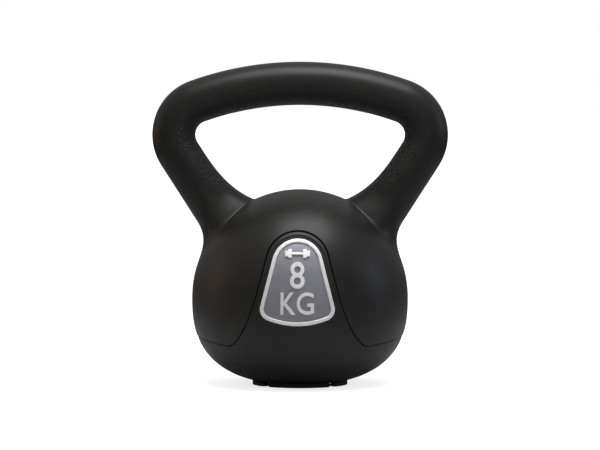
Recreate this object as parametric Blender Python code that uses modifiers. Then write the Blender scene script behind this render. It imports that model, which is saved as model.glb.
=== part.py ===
"""Cement-filled kettlebell in a two-piece plastic casing: a wide-handled upper shell over a bowl.

Metres, +Z up. The origin is the centre of the footprint, on the surface that the feet stand on.
The marked side, with the weight badge, faces -Y.
"""
import math

import bmesh
import bpy

# ---- driving dimensions -------------------------------------------------------------------
GAP = 0.0003                    # clearance between pieces that touch
WALL = 0.004                    # casing wall

BALL_RADIUS = 0.095
BALL_CENTRE_Z = 0.0766
BOWL_DEPTH = 0.0761             # from the ball's centre down to the underside of the bowl
BOWL_SQUARENESS = 2.5           # 2 is a half sphere; more is a fuller bowl with a flatter base

GRIP_RADIUS = 0.019
BAR_ARC_RADIUS = 0.2675         # centreline of the gently bowed top bar
BAR_TOP_Z = 0.2645              # its highest point
CORNER_X = 0.0801               # centre of the bend from bar to leg
CORNER_RADIUS = 0.0312
LEG_LEAN = math.radians(32.7)   # from the vertical
LEG_LENGTH = 0.085              # along the leg's straight outer line, into the ball
LEG_FLARE_AT = 0.069            # distance along the leg at which the flare is FLARE wide
LEG_FLARE = 0.0074
LEG_FLARE_POWER = 3.2

SEAM_MIDDLE_Z = 0.0338          # the casing seam rises from here towards both sides
SEAM_SIDE_Z = 0.0442
ARCH_TOP_Z = 0.1385             # the bowl's front tongue ends in an arch
ARCH_RADIUS = 0.0275
TONGUE_FLARE = math.radians(14.5)
TONGUE_FOOT_X = 0.059           # where the tongue's edge meets the seam
TONGUE_FOOT_SWEEP = (0.857, -0.515)     # direction of the edge as it runs into the seam
TONGUE_PULLS = (0.026, 0.019)   # how far the edge keeps to its upper and lower directions

BADGE_TOP_Z = 0.1321
BADGE_BOTTOM_Z = 0.0579
BADGE_TOP_RADIUS = 0.022
BADGE_SIDE_LEAN = math.radians(14.4)
BADGE_CORNER_RADIUS = 0.0100
BADGE_BASE_RADIUS = 0.072
RIM_WIDTH = 0.0032
ADHESIVE_MARGIN = 0.001
# depths under the ball's outer surface
POCKET_DEPTH = 0.0024
ADHESIVE_DEPTHS = (0.0018, 0.0021)
PLATE_DEPTHS = (0.0007, 0.0015)
RIM_DEPTHS = (0.0001, 0.0015)
MARK_DEPTHS = (0.00005, 0.0004)

# raised marks: left and right edge, base and height
DIGIT_8 = (-0.0063, 0.0063, 0.0899, 0.0226)
LETTER_K = (-0.0143, -0.0015, 0.0677, 0.019)
LETTER_G = (-0.0004, 0.0143, 0.0677, 0.019)
EMBLEM_Z = 0.1195               # middle of a plain dumbbell shape
EMBLEM_STEPS = ((0.0049, 0.0008), (0.0077, 0.0035), (0.0105, 0.0022))   # reach, half height

FOOT_OUTER_RADIUS = 0.0418
FOOT_INNER_RADIUS = 0.030
FOOT_HALF_ANGLE = math.radians(41)
FOOT_PRISM_HEIGHT = 0.012       # cut back to the bowl's underside
PLUG_RADIUS = 0.014
PLUG_THICKNESS = 0.0028
PLUG_CHAMFER = 0.0004
PLUG_DIMPLE = (0.006, 0.005, 0.0008)    # mouth radius, floor radius, depth

BADGE_SPAN = (-0.11, -0.04)     # Y range of the prisms that cut and form the badge
TONGUE_SPAN = (-0.115, -0.01)
CLEAR = 0.12                    # beyond the ball on every side
TURN_STEPS = 48
PLUG_STEPS = 32


# ---- scene, collections, materials --------------------------------------------------------
def clear_scene():
    for old in list(bpy.data.objects):
        bpy.data.objects.remove(old, do_unlink=True)


def new_collection(name):
    collection = bpy.data.collections.new(name)
    bpy.context.scene.collection.children.link(collection)
    return collection


clear_scene()
PARTS = new_collection("kettlebell")
CUTTERS = new_collection("cutters")


def plain_material(name, colour, roughness, metallic=0.0):
    material = bpy.data.materials.new(name)
    material.use_nodes = True
    shader = material.node_tree.nodes["Principled BSDF"]
    shader.inputs["Base Color"].default_value = (*colour, 1.0)
    shader.inputs["Roughness"].default_value = roughness
    shader.inputs["Metallic"].default_value = metallic
    return material


def add_object(name, mesh, collection):
    obj = bpy.data.objects.new(name, mesh)
    collection.objects.link(obj)
    return obj


def as_cutter(obj):
    obj.hide_render = True
    obj.display_type = "WIRE"
    return obj


def as_mesh(source, weld=0.00001):
    """The evaluated shape of an object as a plain mesh with its caps welded; the source goes."""
    bpy.context.view_layer.update()
    graph = bpy.context.evaluated_depsgraph_get()
    mesh = bpy.data.meshes.new_from_object(source.evaluated_get(graph))
    mesh.transform(source.matrix_world)
    bm = bmesh.new()
    bm.from_mesh(mesh)
    bmesh.ops.remove_doubles(bm, verts=bm.verts, dist=weld)
    bmesh.ops.recalc_face_normals(bm, faces=bm.faces)
    bm.to_mesh(mesh)
    bm.free()
    bpy.data.objects.remove(source, do_unlink=True)
    return mesh


def boolean(target, operation, other):
    modifier = target.modifiers.new(f"{operation.lower()}_{other.name}", "BOOLEAN")
    modifier.operation = operation
    modifier.object = other
    modifier.solver = "EXACT"


def finish(obj, material):
    """Give a part its material and shade its round faces smooth."""
    obj.data.materials.clear()
    obj.data.materials.append(material)
    obj.data.shade_smooth()
    obj.data.set_sharp_from_angle(angle=math.radians(35))
    return obj


# ---- curves and outlines ------------------------------------------------------------------
def arc(centre, radius, start, end, count):
    points = []
    for i in range(count + 1):
        angle = start + (end - start) * i / count
        points.append((centre[0] + radius * math.cos(angle), centre[1] + radius * math.sin(angle)))
    return points


def bezier(p0, p1, p2, p3, count):
    points = []
    for i in range(1, count + 1):
        t = i / count
        s = 1 - t
        weights = (s ** 3, 3 * s * s * t, 3 * s * t * t, t ** 3)
        points.append(tuple(sum(w * p[k] for w, p in zip(weights, (p0, p1, p2, p3))) for k in (0, 1)))
    return points


def mirrored(half):
    """A closed outline from its half at +X, which runs from the top to the bottom."""
    return half + [(-x, z) for x, z in reversed(half) if abs(x) > 1e-9]


def prism(name, outlines, span):
    """A solid with XZ outlines that spans a range of Y. An outline inside another is a hole."""
    y_from, y_to = span
    curve = bpy.data.curves.new(name, "CURVE")
    curve.dimensions = "2D"
    curve.fill_mode = "BOTH"
    curve.extrude = (y_to - y_from) / 2
    for outline in outlines:
        spline = curve.splines.new("POLY")
        spline.points.add(len(outline) - 1)
        for point, (x, z) in zip(spline.points, outline):
            point.co = (x, z, 0.0, 1.0)
        spline.use_cyclic_u = True
    flat = add_object(name + "_outline", curve, CUTTERS)
    flat.rotation_euler = (math.radians(90), 0.0, 0.0)
    flat.location = (0.0, (y_from + y_to) / 2, 0.0)
    return as_cutter(add_object(name, as_mesh(flat), CUTTERS))


def turned(name, profile, collection, steps=TURN_STEPS):
    """A closed solid turned about the Z axis from a profile that runs from top to bottom."""
    mesh = bpy.data.meshes.new(name)
    edges = [(i, i + 1) for i in range(len(profile) - 1)]
    mesh.from_pydata([(x, 0.0, z) for x, z in profile], edges, [])
    source = add_object(name + "_profile", mesh, collection)
    screw = source.modifiers.new("turn", "SCREW")
    screw.axis = "Z"
    screw.angle = math.radians(360)
    screw.steps = steps
    screw.render_steps = steps
    screw.use_merge_vertices = True
    screw.merge_threshold = 0.00001
    return add_object(name, as_mesh(source), collection)


# ---- the body's own forms -----------------------------------------------------------------
def ball_profile(inset):
    """The ball's outline at a depth under its surface: a quarter circle over a fuller bowl."""
    radius = BALL_RADIUS - inset
    depth = BOWL_DEPTH - inset
    upper = arc((0.0, BALL_CENTRE_Z), radius, math.radians(90), 0.0, 12)
    lower = []
    for i in range(1, 11):
        angle = math.radians(90) * i / 10
        x = radius * math.cos(angle) ** (2 / BOWL_SQUARENESS)
        z = BALL_CENTRE_Z - depth * math.sin(angle) ** (2 / BOWL_SQUARENESS)
        lower.append((max(x, 0.0) if i < 10 else 0.0, z))
    upper[0] = (0.0, BALL_CENTRE_Z + radius)
    return upper + lower


def handle_path():
    """Centreline points and section radii of the right half of the handle, from the top middle."""
    bar_centre_z = BAR_TOP_Z - BAR_ARC_RADIUS
    reach = BAR_ARC_RADIUS - CORNER_RADIUS
    corner_z = bar_centre_z + math.sqrt(reach ** 2 - CORNER_X ** 2)
    bend_start = math.atan2(corner_z - bar_centre_z, CORNER_X)
    bar = arc((0.0, bar_centre_z), BAR_ARC_RADIUS, math.radians(90), bend_start, 6)
    corner = arc((CORNER_X, corner_z), CORNER_RADIUS, bend_start, -LEG_LEAN, 8)
    path = [(x, z, GRIP_RADIUS) for x, z in bar + corner[1:]]
    outward = (math.cos(LEG_LEAN), -math.sin(LEG_LEAN))
    down = (-math.sin(LEG_LEAN), -math.cos(LEG_LEAN))
    edge = CORNER_RADIUS + GRIP_RADIUS
    start = (CORNER_X + edge * outward[0], corner_z + edge * outward[1])
    for i in range(1, 10):
        along = LEG_LENGTH * i / 9
        radius = GRIP_RADIUS + LEG_FLARE * (along / LEG_FLARE_AT) ** LEG_FLARE_POWER
        x = start[0] + down[0] * along - outward[0] * radius
        z = start[1] + down[1] * along - outward[1] * radius
        path.append((x, z, radius))
    return path


def handle_tube(name, inset):
    half = handle_path()
    points = [(-x, z, r) for x, z, r in reversed(half[1:])] + half
    curve = bpy.data.curves.new(name, "CURVE")
    curve.dimensions = "3D"
    curve.bevel_depth = GRIP_RADIUS
    curve.bevel_resolution = 6
    curve.use_fill_caps = True
    spline = curve.splines.new("POLY")
    spline.points.add(len(points) - 1)
    for point, (x, z, radius) in zip(spline.points, points):
        point.co = (x, 0.0, z, 1.0)
        point.radius = (radius - inset) / GRIP_RADIUS
    source = add_object(name + "_path", curve, CUTTERS)
    return as_cutter(add_object(name, as_mesh(source), CUTTERS))


def seam_height(x):
    return SEAM_MIDDLE_Z + (SEAM_SIDE_Z - SEAM_MIDDLE_Z) * (x / BALL_RADIUS) ** 2


def tongue_outline(inset):
    """The bowl's front tongue: an arch whose sides flare out into the seam."""
    centre = (0.0, ARCH_TOP_Z - ARCH_RADIUS)
    top = arc(centre, ARCH_RADIUS - inset, math.radians(90), TONGUE_FLARE, 8)
    top[0] = (0.0, ARCH_TOP_Z - inset)
    down = (math.sin(TONGUE_FLARE), -math.cos(TONGUE_FLARE))
    foot = (TONGUE_FOOT_X - inset, seam_height(TONGUE_FOOT_X) - inset)
    sweep = TONGUE_FOOT_SWEEP
    start = top[-1]
    near = (start[0] + TONGUE_PULLS[0] * down[0], start[1] + TONGUE_PULLS[0] * down[1])
    far = (foot[0] - TONGUE_PULLS[1] * sweep[0], foot[1] - TONGUE_PULLS[1] * sweep[1])
    side = bezier(start, near, far, foot, 9)
    # the edge runs on a little, so that it ends under the seam
    last = (foot[0] + 0.003 * sweep[0], foot[1] + 0.003 * sweep[1])
    return mirrored(top + side + [last, (last[0], SEAM_MIDDLE_Z / 2)])


def bowl_region(name, inset):
    """The space that the lower shell may fill: under the seam all round, plus the front tongue."""
    count = 24
    top = []
    for i in range(count + 1):
        x = -CLEAR + 2 * CLEAR * i / count
        top.append((x, seam_height(x) - inset))
    below = prism(name + "_below", [top + [(CLEAR, -CLEAR), (-CLEAR, -CLEAR)]], (-CLEAR, CLEAR))
    tongue = prism(name + "_tongue", [tongue_outline(inset)], TONGUE_SPAN)
    boolean(below, "UNION", tongue)
    region = as_cutter(add_object(name, as_mesh(below), CUTTERS))
    bpy.data.objects.remove(tongue, do_unlink=True)
    return region


def badge_outline(inset):
    """A bell shape: round top, flared sides, rounded lower corners and a bowed base."""
    top_centre = (0.0, BADGE_TOP_Z - BADGE_TOP_RADIUS)
    base_centre = (0.0, BADGE_BOTTOM_Z + BADGE_BASE_RADIUS)
    lean = BADGE_SIDE_LEAN
    down = (math.sin(lean), -math.cos(lean))
    outward = (math.cos(lean), math.sin(lean))
    step = BADGE_TOP_RADIUS - BADGE_CORNER_RADIUS
    # the corner's centre slides down parallel to the side until it touches the base arc
    slide = (step * outward[0], top_centre[1] + step * outward[1])
    gap = (slide[0] - base_centre[0], slide[1] - base_centre[1])
    half_b = gap[0] * down[0] + gap[1] * down[1]
    reach = BADGE_BASE_RADIUS - BADGE_CORNER_RADIUS
    along = -half_b + math.sqrt(half_b ** 2 - (gap[0] ** 2 + gap[1] ** 2 - reach ** 2))
    corner = (slide[0] + along * down[0], slide[1] + along * down[1])
    turn_end = math.atan2(corner[1] - base_centre[1], corner[0] - base_centre[0])
    half = arc(top_centre, BADGE_TOP_RADIUS - inset, math.radians(90), lean, 8)
    half[0] = (0.0, BADGE_TOP_Z - inset)
    half += arc(corner, BADGE_CORNER_RADIUS - inset, lean, turn_end, 6)
    half += arc(base_centre, BADGE_BASE_RADIUS - inset, turn_end, math.radians(-90), 5)[1:]
    half[-1] = (0.0, BADGE_BOTTOM_Z + inset)
    return mirrored(half)


# ---- shared forms -------------------------------------------------------------------------
def ball_form(name, inset):
    return as_cutter(turned(name, ball_profile(inset), CUTTERS))


def under_surface(name, cutter, depths, material):
    """A thin piece that follows the ball: a prism kept between two depths under its surface."""
    piece = add_object(name, cutter.data.copy(), PARTS)
    boolean(piece, "INTERSECT", ball_form(name + "_over", depths[0]))
    boolean(piece, "DIFFERENCE", ball_form(name + "_under", depths[1]))
    return finish(piece, material)


# ---- the casing and its filling -----------------------------------------------------------
def make_upper_shell(material):
    shell = turned("upper_shell", ball_profile(0.0), PARTS)
    boolean(shell, "UNION", handle_tube("handle_outside", 0.0))
    boolean(shell, "DIFFERENCE", ball_form("ball_inside_upper", WALL))
    boolean(shell, "DIFFERENCE", handle_tube("handle_inside", WALL))
    boolean(shell, "DIFFERENCE", bowl_region("region_under_upper_shell", 0.0))
    return finish(shell, material)


def make_lower_shell(material):
    shell = turned("lower_shell", ball_profile(0.0), PARTS)
    boolean(shell, "INTERSECT", bowl_region("region_of_lower_shell", GAP))
    boolean(shell, "DIFFERENCE", ball_form("ball_inside_lower", WALL))
    pocket = prism("pocket_outline", [badge_outline(-GAP)], BADGE_SPAN)
    boolean(pocket, "DIFFERENCE", ball_form("pocket_floor", POCKET_DEPTH))
    boolean(shell, "DIFFERENCE", pocket)
    over = 3 * WALL
    hole = [(0.0, over), (PLUG_RADIUS, over), (PLUG_RADIUS, -over), (0.0, -over)]
    boolean(shell, "DIFFERENCE", as_cutter(turned("plug_hole", hole, CUTTERS, PLUG_STEPS)))
    return finish(shell, material)


def make_core(material):
    core = turned("cement_core", ball_profile(WALL + GAP), PARTS)
    boolean(core, "UNION", handle_tube("handle_filling", WALL + GAP))
    return finish(core, material)


def make_plug(material):
    bottom = BALL_CENTRE_Z - BOWL_DEPTH + GAP
    top = bottom + PLUG_THICKNESS
    radius = PLUG_RADIUS - GAP
    mouth, floor, depth = PLUG_DIMPLE
    profile = [
        (0.0, top),
        (radius, top),
        (radius, bottom + PLUG_CHAMFER),
        (radius - PLUG_CHAMFER, bottom),
        (mouth, bottom),
        (floor, bottom + depth),
        (0.0, bottom + depth),
    ]
    return finish(turned("base_plug", profile, PARTS, PLUG_STEPS), material)


# ---- the badge ----------------------------------------------------------------------------
def text_prism(name, text, box):
    """A character in the built-in plain font, fitted to its box, as a solid through the badge."""
    left, right, base, height = box
    curve = bpy.data.curves.new(name, "FONT")
    curve.body = text
    curve.size = height
    curve.extrude = (BADGE_SPAN[1] - BADGE_SPAN[0]) / 2
    curve.resolution_u = 3
    source = add_object(name + "_text", curve, CUTTERS)
    source.rotation_euler = (math.radians(90), 0.0, 0.0)
    source.location = (0.0, sum(BADGE_SPAN) / 2, 0.0)
    mesh = as_mesh(source)
    xs = [v.co.x for v in mesh.vertices]
    zs = [v.co.z for v in mesh.vertices]
    widen = (right - left) / (max(xs) - min(xs))
    raise_by = height / (max(zs) - min(zs))
    for v in mesh.vertices:
        v.co.x = left + (v.co.x - min(xs)) * widen
        v.co.z = base + (v.co.z - min(zs)) * raise_by
    return as_cutter(add_object(name, mesh, CUTTERS))


def dumbbell_outline():
    """A plain dumbbell pictogram: two sizes of plate at each end of a bar."""
    upper = []
    inner = None
    for reach, half_height in EMBLEM_STEPS:
        if inner is not None:
            upper.append((inner, half_height))
        upper.append((reach, half_height))
        inner = reach
    right = upper + [(x, -z) for x, z in reversed(upper)]
    left = [(-x, -z) for x, z in right]
    return [(x, EMBLEM_Z + z) for x, z in right + left]


def make_badge(plate_material, silver_material, glue_material):
    plate = prism("plate_prism", [badge_outline(RIM_WIDTH + GAP)], BADGE_SPAN)
    under_surface("badge_plate", plate, PLATE_DEPTHS, plate_material)
    rim = prism("rim_prism", [badge_outline(0.0), badge_outline(RIM_WIDTH)], BADGE_SPAN)
    under_surface("badge_rim", rim, RIM_DEPTHS, silver_material)
    glue = prism("glue_prism", [badge_outline(ADHESIVE_MARGIN)], BADGE_SPAN)
    under_surface("badge_adhesive", glue, ADHESIVE_DEPTHS, glue_material)
    for name, text, box in (("digit_8", "8", DIGIT_8), ("letter_k", "K", LETTER_K),
                            ("letter_g", "G", LETTER_G)):
        mark = text_prism(name + "_prism", text, box)
        under_surface(name, mark, MARK_DEPTHS, silver_material)
    emblem = prism("emblem_prism", [dumbbell_outline()], BADGE_SPAN)
    under_surface("badge_emblem", emblem, MARK_DEPTHS, silver_material)


# ---- the feet -----------------------------------------------------------------------------
def make_feet(material):
    """Four curved rubber pads on one ring, with gaps at the diagonals, shaped to the bowl above."""
    clearance = ball_form("ball_over_feet", -GAP)
    for name, heading in (("foot_right", 0), ("foot_rear", 90), ("foot_left", 180), ("foot_front", 270)):
        middle = math.radians(heading)
        start = middle - FOOT_HALF_ANGLE
        end = middle + FOOT_HALF_ANGLE
        outline = arc((0.0, 0.0), FOOT_OUTER_RADIUS, start, end, 8)
        outline += arc((0.0, 0.0), FOOT_INNER_RADIUS, end, start, 6)
        curve = bpy.data.curves.new(name, "CURVE")
        curve.dimensions = "2D"
        curve.fill_mode = "BOTH"
        curve.extrude = FOOT_PRISM_HEIGHT / 2
        spline = curve.splines.new("POLY")
        spline.points.add(len(outline) - 1)
        for point, (x, y) in zip(spline.points, outline):
            point.co = (x, y, 0.0, 1.0)
        spline.use_cyclic_u = True
        flat = add_object(name + "_outline", curve, CUTTERS)
        flat.location = (0.0, 0.0, FOOT_PRISM_HEIGHT / 2)
        foot = add_object(name, as_mesh(flat), PARTS)
        boolean(foot, "DIFFERENCE", clearance)
        finish(foot, material)


def main():
    casing = plain_material("black_polyethylene", (0.012, 0.012, 0.012), 0.45)
    bowl = plain_material("black_polyethylene_bowl", (0.011, 0.011, 0.011), 0.45)
    cement = plain_material("cast_cement", (0.35, 0.34, 0.32), 0.9)
    grey = plain_material("grey_badge_plastic", (0.18, 0.18, 0.19), 0.35, 0.3)
    silver = plain_material("silver_foil", (0.82, 0.82, 0.84), 0.3, 0.6)
    glue = plain_material("adhesive_film", (0.6, 0.58, 0.5), 0.5)
    rubber = plain_material("black_rubber", (0.01, 0.01, 0.01), 0.8)
    make_upper_shell(casing)
    make_lower_shell(bowl)
    make_core(cement)
    make_plug(rubber)
    make_badge(grey, silver, glue)
    make_feet(rubber)


main()
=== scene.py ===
"""The finished look of a cement-filled kettlebell: a matt black plastic casing round a cast filling.

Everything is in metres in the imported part's frame: +Z up, the weight badge on the -Y side.
"""
import math
from contextlib import contextmanager

import bmesh
import bpy
import numpy as np
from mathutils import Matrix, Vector
from mathutils.geometry import delaunay_2d_cdt
from mathutils.kdtree import KDTree


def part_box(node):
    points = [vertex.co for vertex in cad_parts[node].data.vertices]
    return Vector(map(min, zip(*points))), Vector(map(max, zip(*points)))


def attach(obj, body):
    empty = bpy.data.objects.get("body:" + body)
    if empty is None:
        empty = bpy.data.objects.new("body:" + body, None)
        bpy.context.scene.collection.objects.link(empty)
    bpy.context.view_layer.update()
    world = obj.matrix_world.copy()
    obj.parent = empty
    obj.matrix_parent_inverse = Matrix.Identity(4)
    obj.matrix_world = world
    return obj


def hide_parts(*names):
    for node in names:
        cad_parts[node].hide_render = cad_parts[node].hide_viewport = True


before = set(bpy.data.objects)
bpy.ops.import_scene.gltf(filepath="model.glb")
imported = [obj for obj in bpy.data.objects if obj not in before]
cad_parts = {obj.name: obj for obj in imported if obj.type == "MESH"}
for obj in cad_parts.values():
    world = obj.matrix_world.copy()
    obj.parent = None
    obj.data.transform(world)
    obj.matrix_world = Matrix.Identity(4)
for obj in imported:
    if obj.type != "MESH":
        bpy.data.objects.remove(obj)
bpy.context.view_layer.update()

MM = 0.001
UP = np.array((0.0, 0.0, 1.0))

# ---- sizes taken from the frame ------------------------------------------------------------
CASING_LOW, CASING_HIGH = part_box("upper_shell")
BALL_RADIUS = CASING_HIGH.y
BAR_TOP = CASING_HIGH.z
HANDLE_HALF_WIDTH = (CASING_HIGH.x - CASING_LOW.x) / 2
RIM_LOW, RIM_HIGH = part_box("badge_rim")
FOOT_OUTER_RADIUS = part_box("foot_right")[1].x
PLUG_LOW, PLUG_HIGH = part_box("base_plug")

# ---- stage settings ------------------------------------------------------------------------
CAMERA_DISTANCE = 2.6
CAMERA_AIM_Z = 0.14
CAMERA_ELEVATION = 2.5          # degrees above level
CAMERA_SWING = 1.45             # degrees to the right of straight ahead
CAMERA_LENS = 177.3
FLOOR_REACH = 40.0
FLOOR_DROP = 0.2 * MM           # keeps the paper clear of the feet
FLOOR_SEEN = "f2f2f2"
FLOOR_GLOW = (0.75, 1.0)        # what the camera sees: at the object, and far from it
FLOOR_GLOW_REACH = (0.2, 3.0)
FLOOR_BOUNCE = "cacaca"         # what the object sees of it: close by, and far off
FLOOR_FAR_BOUNCE = "6a6a6a"
FLOOR_BOUNCE_REACH = (0.2, 0.8)
ROOM_LIGHT = (0.152, 0.494)     # at the horizon, and high up
ROOM_TOP = 0.8                  # the sine of the height above which the room is at its brightest
LAMPS = (                       # name, place, height aimed at, width and height, power, colour
    ("overhead softbox", (0.12, -0.35, 1.5), 0.15, (1.0, 0.8), 14.5, "ffffff"),
    ("warm side", (-1.8, 0.3, 0.4), 0.12, (0.8, 1.0), 1.9, "ffc8a2"),
    ("cool side", (1.8, 0.0, 0.6), 0.12, (0.8, 1.0), 3.0, "c4d2ff"),
    ("front fill", (0.5, -3.0, 0.9), 0.12, (1.6, 1.2), 3.5, "ffffff"),
)

# ---- sizes of the design -------------------------------------------------------------------
BALL_CENTRE = np.array((0.0, 0.0, 76.6 * MM))
BOWL_DEPTH = 76.1 * MM
BOWL_SQUARENESS = 2.6
WALL = 3.0 * MM
SEAM_GAP = 0.65 * MM
LIP_RADIUS = 0.6 * MM

GRIP_RADIUS = 19 * MM
BAR_ARC_RADIUS = 267.5 * MM
CORNER_RADIUS = 31.2 * MM
CORNER_X = HANDLE_HALF_WIDTH - CORNER_RADIUS - GRIP_RADIUS
LEG_LEAN = math.radians(32.7)
LEG_LENGTH = 85 * MM
LEG_FLARE_AT = 69 * MM
LEG_WEB = 14.8 * MM             # how far the leg's inner edge flares towards the window
LEG_WEB_POWER = 3.2
LEG_WEB_SHARPNESS = 2.2         # higher: the flare keeps closer to the leg's middle plane
LEG_DEPTH_FLARE = 6.0 * MM      # the leg's depth flares just above the ball, then stays
LEG_DEPTH_FLARE_SPAN = (47 * MM, 76 * MM)
CREASE_BLEND = 1.5 * MM         # fillet between leg and ball at the inner end
WAIST_BLEND = 17 * MM           # and at the outer end
BLEND_SPAN_X = (52 * MM, 88 * MM)
JOINT_FROM_X = 30 * MM          # the region where leg and ball join
JOINT_SPAN_Z = (95 * MM, 195 * MM)
JOINT_REACH_Y = 60 * MM
FILL_ABOVE_Z = 100 * MM         # above this the cement is drawn in to suit the casing
FILL_CLEARANCE = 0.1 * MM
FILL_LONGEST_EDGE = 7 * MM

SEAM_MIDDLE_Z = 33.8 * MM
SEAM_SIDE_Z = 44.2 * MM
ARCH_TOP_Z = 138.5 * MM
ARCH_RADIUS = 27.5 * MM
TONGUE_FLARE = math.radians(14.5)
TONGUE_FOOT_X = 59 * MM
TONGUE_FOOT_SWEEP = (0.857, -0.515)
TONGUE_PULLS = (26 * MM, 19 * MM)
TONGUE_CORNER = 3.5 * MM        # rounding where the tongue's edge meets the seam

BADGE_TOP_RADIUS = 22 * MM
BADGE_SIDE_LEAN = math.radians(14.4)
BADGE_CORNER_RADIUS = 10 * MM
BADGE_BASE_RADIUS = 72 * MM
RIM_WIDTH = 3.2 * MM
POCKET_DEPTH = 2.4 * MM
RIM_SECTION = (0.05 * MM, 1.45 * MM, 0.55 * MM, 0.12 * MM)      # top and bottom depth, edge, crown
PLATE_INSET = 0.3 * MM
PLATE_DEPTHS = (1.45 * MM, 2.0 * MM)
MARK_DEPTHS = (0.05 * MM, 1.45 * MM)
MARK_ROUNDING = 0.12 * MM
STROKE_TRIM = 0.2 * MM
CHARACTER_HEIGHT_SHARE = 0.72
EMBLEM_Z = 119.5 * MM
EMBLEM_STEPS = ((4.9 * MM, 0.8 * MM), (7.7 * MM, 3.5 * MM), (10.5 * MM, 2.2 * MM))

SEAM_DROP = 0.45 * MM           # the lower casing sits a little back from the upper one
SEAM_DROP_WIDTH = 7 * MM
BAND_DROP = 0.95 * MM
BAND_FADE_Z = (60 * MM, 116 * MM)
BAND_NARROWEST = 0.6
SURROUND = (                    # distance out from the badge, share of the second step, own depth
    (4.0 * MM, 0.0, 0.0),
    (3.2 * MM, 0.0, 0.0),
    (3.0 * MM, 0.12 * MM, 0.0),
    (2.8 * MM, 0.48 * MM, 0.0),
    (2.6 * MM, 0.6 * MM, 0.0),
    (1.25 * MM, 0.6 * MM, 0.0),
    (0.95 * MM, 0.6 * MM, 0.1 * MM),
    (0.7 * MM, 0.6 * MM, 0.4 * MM),
    (0.6 * MM, 0.6 * MM, 0.9 * MM),
    (0.5 * MM, 0.0, POCKET_DEPTH),
)

FOOT_WIDTH = 11.8 * MM
FOOT_HALF_ANGLE = math.radians(41)
FOOT_CORNER = 2.5 * MM
FOOT_EDGE = 1.0 * MM
FOOT_GAP = 0.25 * MM
PLUG_SIDES = 64

GRIP_FACING = (-0.1, 0.5)
GRIP_FADE_Z = (165 * MM, 190 * MM)

SIDES = 96                      # round the handle
BAR_RINGS = 90                  # from the middle of the bar to the top of a leg
FOOT_RINGS_REACH = 16 * MM
SPACING = 3.0 * MM              # between the free points of the ball's surface
SEAM_SPACING = 1.4 * MM
FLOOR_SPACING = 4.0 * MM        # on the floor of the badge's pocket
PLATE_SPACING = 2.5 * MM
MARK_SPACING = 1.5 * MM
WELD = 0.002 * MM
PROBE = 0.05 * MM               # step for measuring slopes
SHARP_ANGLE = math.radians(38)


# ---- outlines ------------------------------------------------------------------------------
def arc(centre, radius, start, end, count):
    angles = np.linspace(start, end, count + 1)
    return np.stack((centre[0] + radius * np.cos(angles), centre[1] + radius * np.sin(angles)), 1)


def bezier(p0, p1, p2, p3, count):
    t = np.linspace(0.0, 1.0, count + 1)[:, None]
    s = 1 - t
    points = [np.asarray(p, float) for p in (p0, p1, p2, p3)]
    return s**3 * points[0] + 3 * s * s * t * points[1] + 3 * s * t * t * points[2] + t**3 * points[3]


def resampled(points, spacing):
    """Evenly spaced points along a closed line, about the given distance apart."""
    path = np.vstack((points, points[:1]))
    lengths = np.linalg.norm(np.diff(path, axis=0), axis=1)
    along = np.concatenate(([0.0], np.cumsum(lengths)))
    count = max(4, round(along[-1] / spacing))
    stops = np.linspace(0.0, along[-1], count + 1)
    return np.stack([np.interp(stops, along, path[:, k]) for k in range(path.shape[1])], 1)[:-1]


def smoothed(points, radius, rounds=2):
    """A closed line with its corners eased by a running mean over about the given radius."""
    step = np.linalg.norm(points[1] - points[0])
    reach = max(1, round(radius / step))
    for _ in range(rounds):
        points = sum(np.roll(points, k, 0) for k in range(-reach, reach + 1)) / (2 * reach + 1)
    return points


def with_mirror(half):
    """A closed outline from its +X half, which runs from the top middle to the bottom middle."""
    left = half[::-1][1:-1] * (-1, 1)
    return np.vstack((half, left))


def smoothstep(low, high, value):
    t = np.clip((value - low) / (high - low), 0.0, 1.0)
    return t * t * (3 - 2 * t)


# ---- the ball ------------------------------------------------------------------------------
def ball_point(direction):
    """The point of the ball's surface in a direction from its centre."""
    direction = direction / np.linalg.norm(direction, axis=-1, keepdims=True)
    level = np.hypot(direction[..., 0], direction[..., 1]) / BALL_RADIUS
    down = np.maximum(-direction[..., 2], 0.0) / BOWL_DEPTH
    low = (level**BOWL_SQUARENESS + down**BOWL_SQUARENESS) ** (1 / BOWL_SQUARENESS)
    reach = np.where(direction[..., 2] >= 0, BALL_RADIUS, 1 / np.maximum(low, 1e-9))
    return BALL_CENTRE + direction * reach[..., None]


def ball_level(z):
    """The ball's radius at a height."""
    rise = np.asarray(z, float) - BALL_CENTRE[2]
    above = np.sqrt(np.maximum(BALL_RADIUS**2 - rise**2, 0.0))
    share = np.clip(-rise / BOWL_DEPTH, 0.0, 1.0)
    below = BALL_RADIUS * (1 - share**BOWL_SQUARENESS) ** (1 / BOWL_SQUARENESS)
    return np.where(rise >= 0, above, below)


def ball_normal(points):
    level = np.hypot(points[:, 0], points[:, 1])
    rise = points[:, 2] - BALL_CENTRE[2]
    power = BOWL_SQUARENESS - 1
    flat = np.where(rise >= 0, level, (level / BALL_RADIUS) ** power / BALL_RADIUS)
    upright = np.where(rise >= 0, rise, -((np.abs(rise) / BOWL_DEPTH) ** power) / BOWL_DEPTH)
    spread = flat / np.maximum(level, 1e-9)
    normal = np.stack((points[:, 0] * spread, points[:, 1] * spread, upright), 1)
    return normal / np.linalg.norm(normal, axis=1, keepdims=True)


def on_front(outline):
    """Puts an XZ outline on the ball's marked side."""
    level = ball_level(outline[:, 1])
    y = -np.sqrt(np.maximum(level**2 - outline[:, 0] ** 2, 0.0))
    return np.stack((outline[:, 0], y, outline[:, 1]), 1)


def sunk(points, depth):
    return points - ball_normal(points) * np.asarray(depth).reshape(-1, 1)


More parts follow.
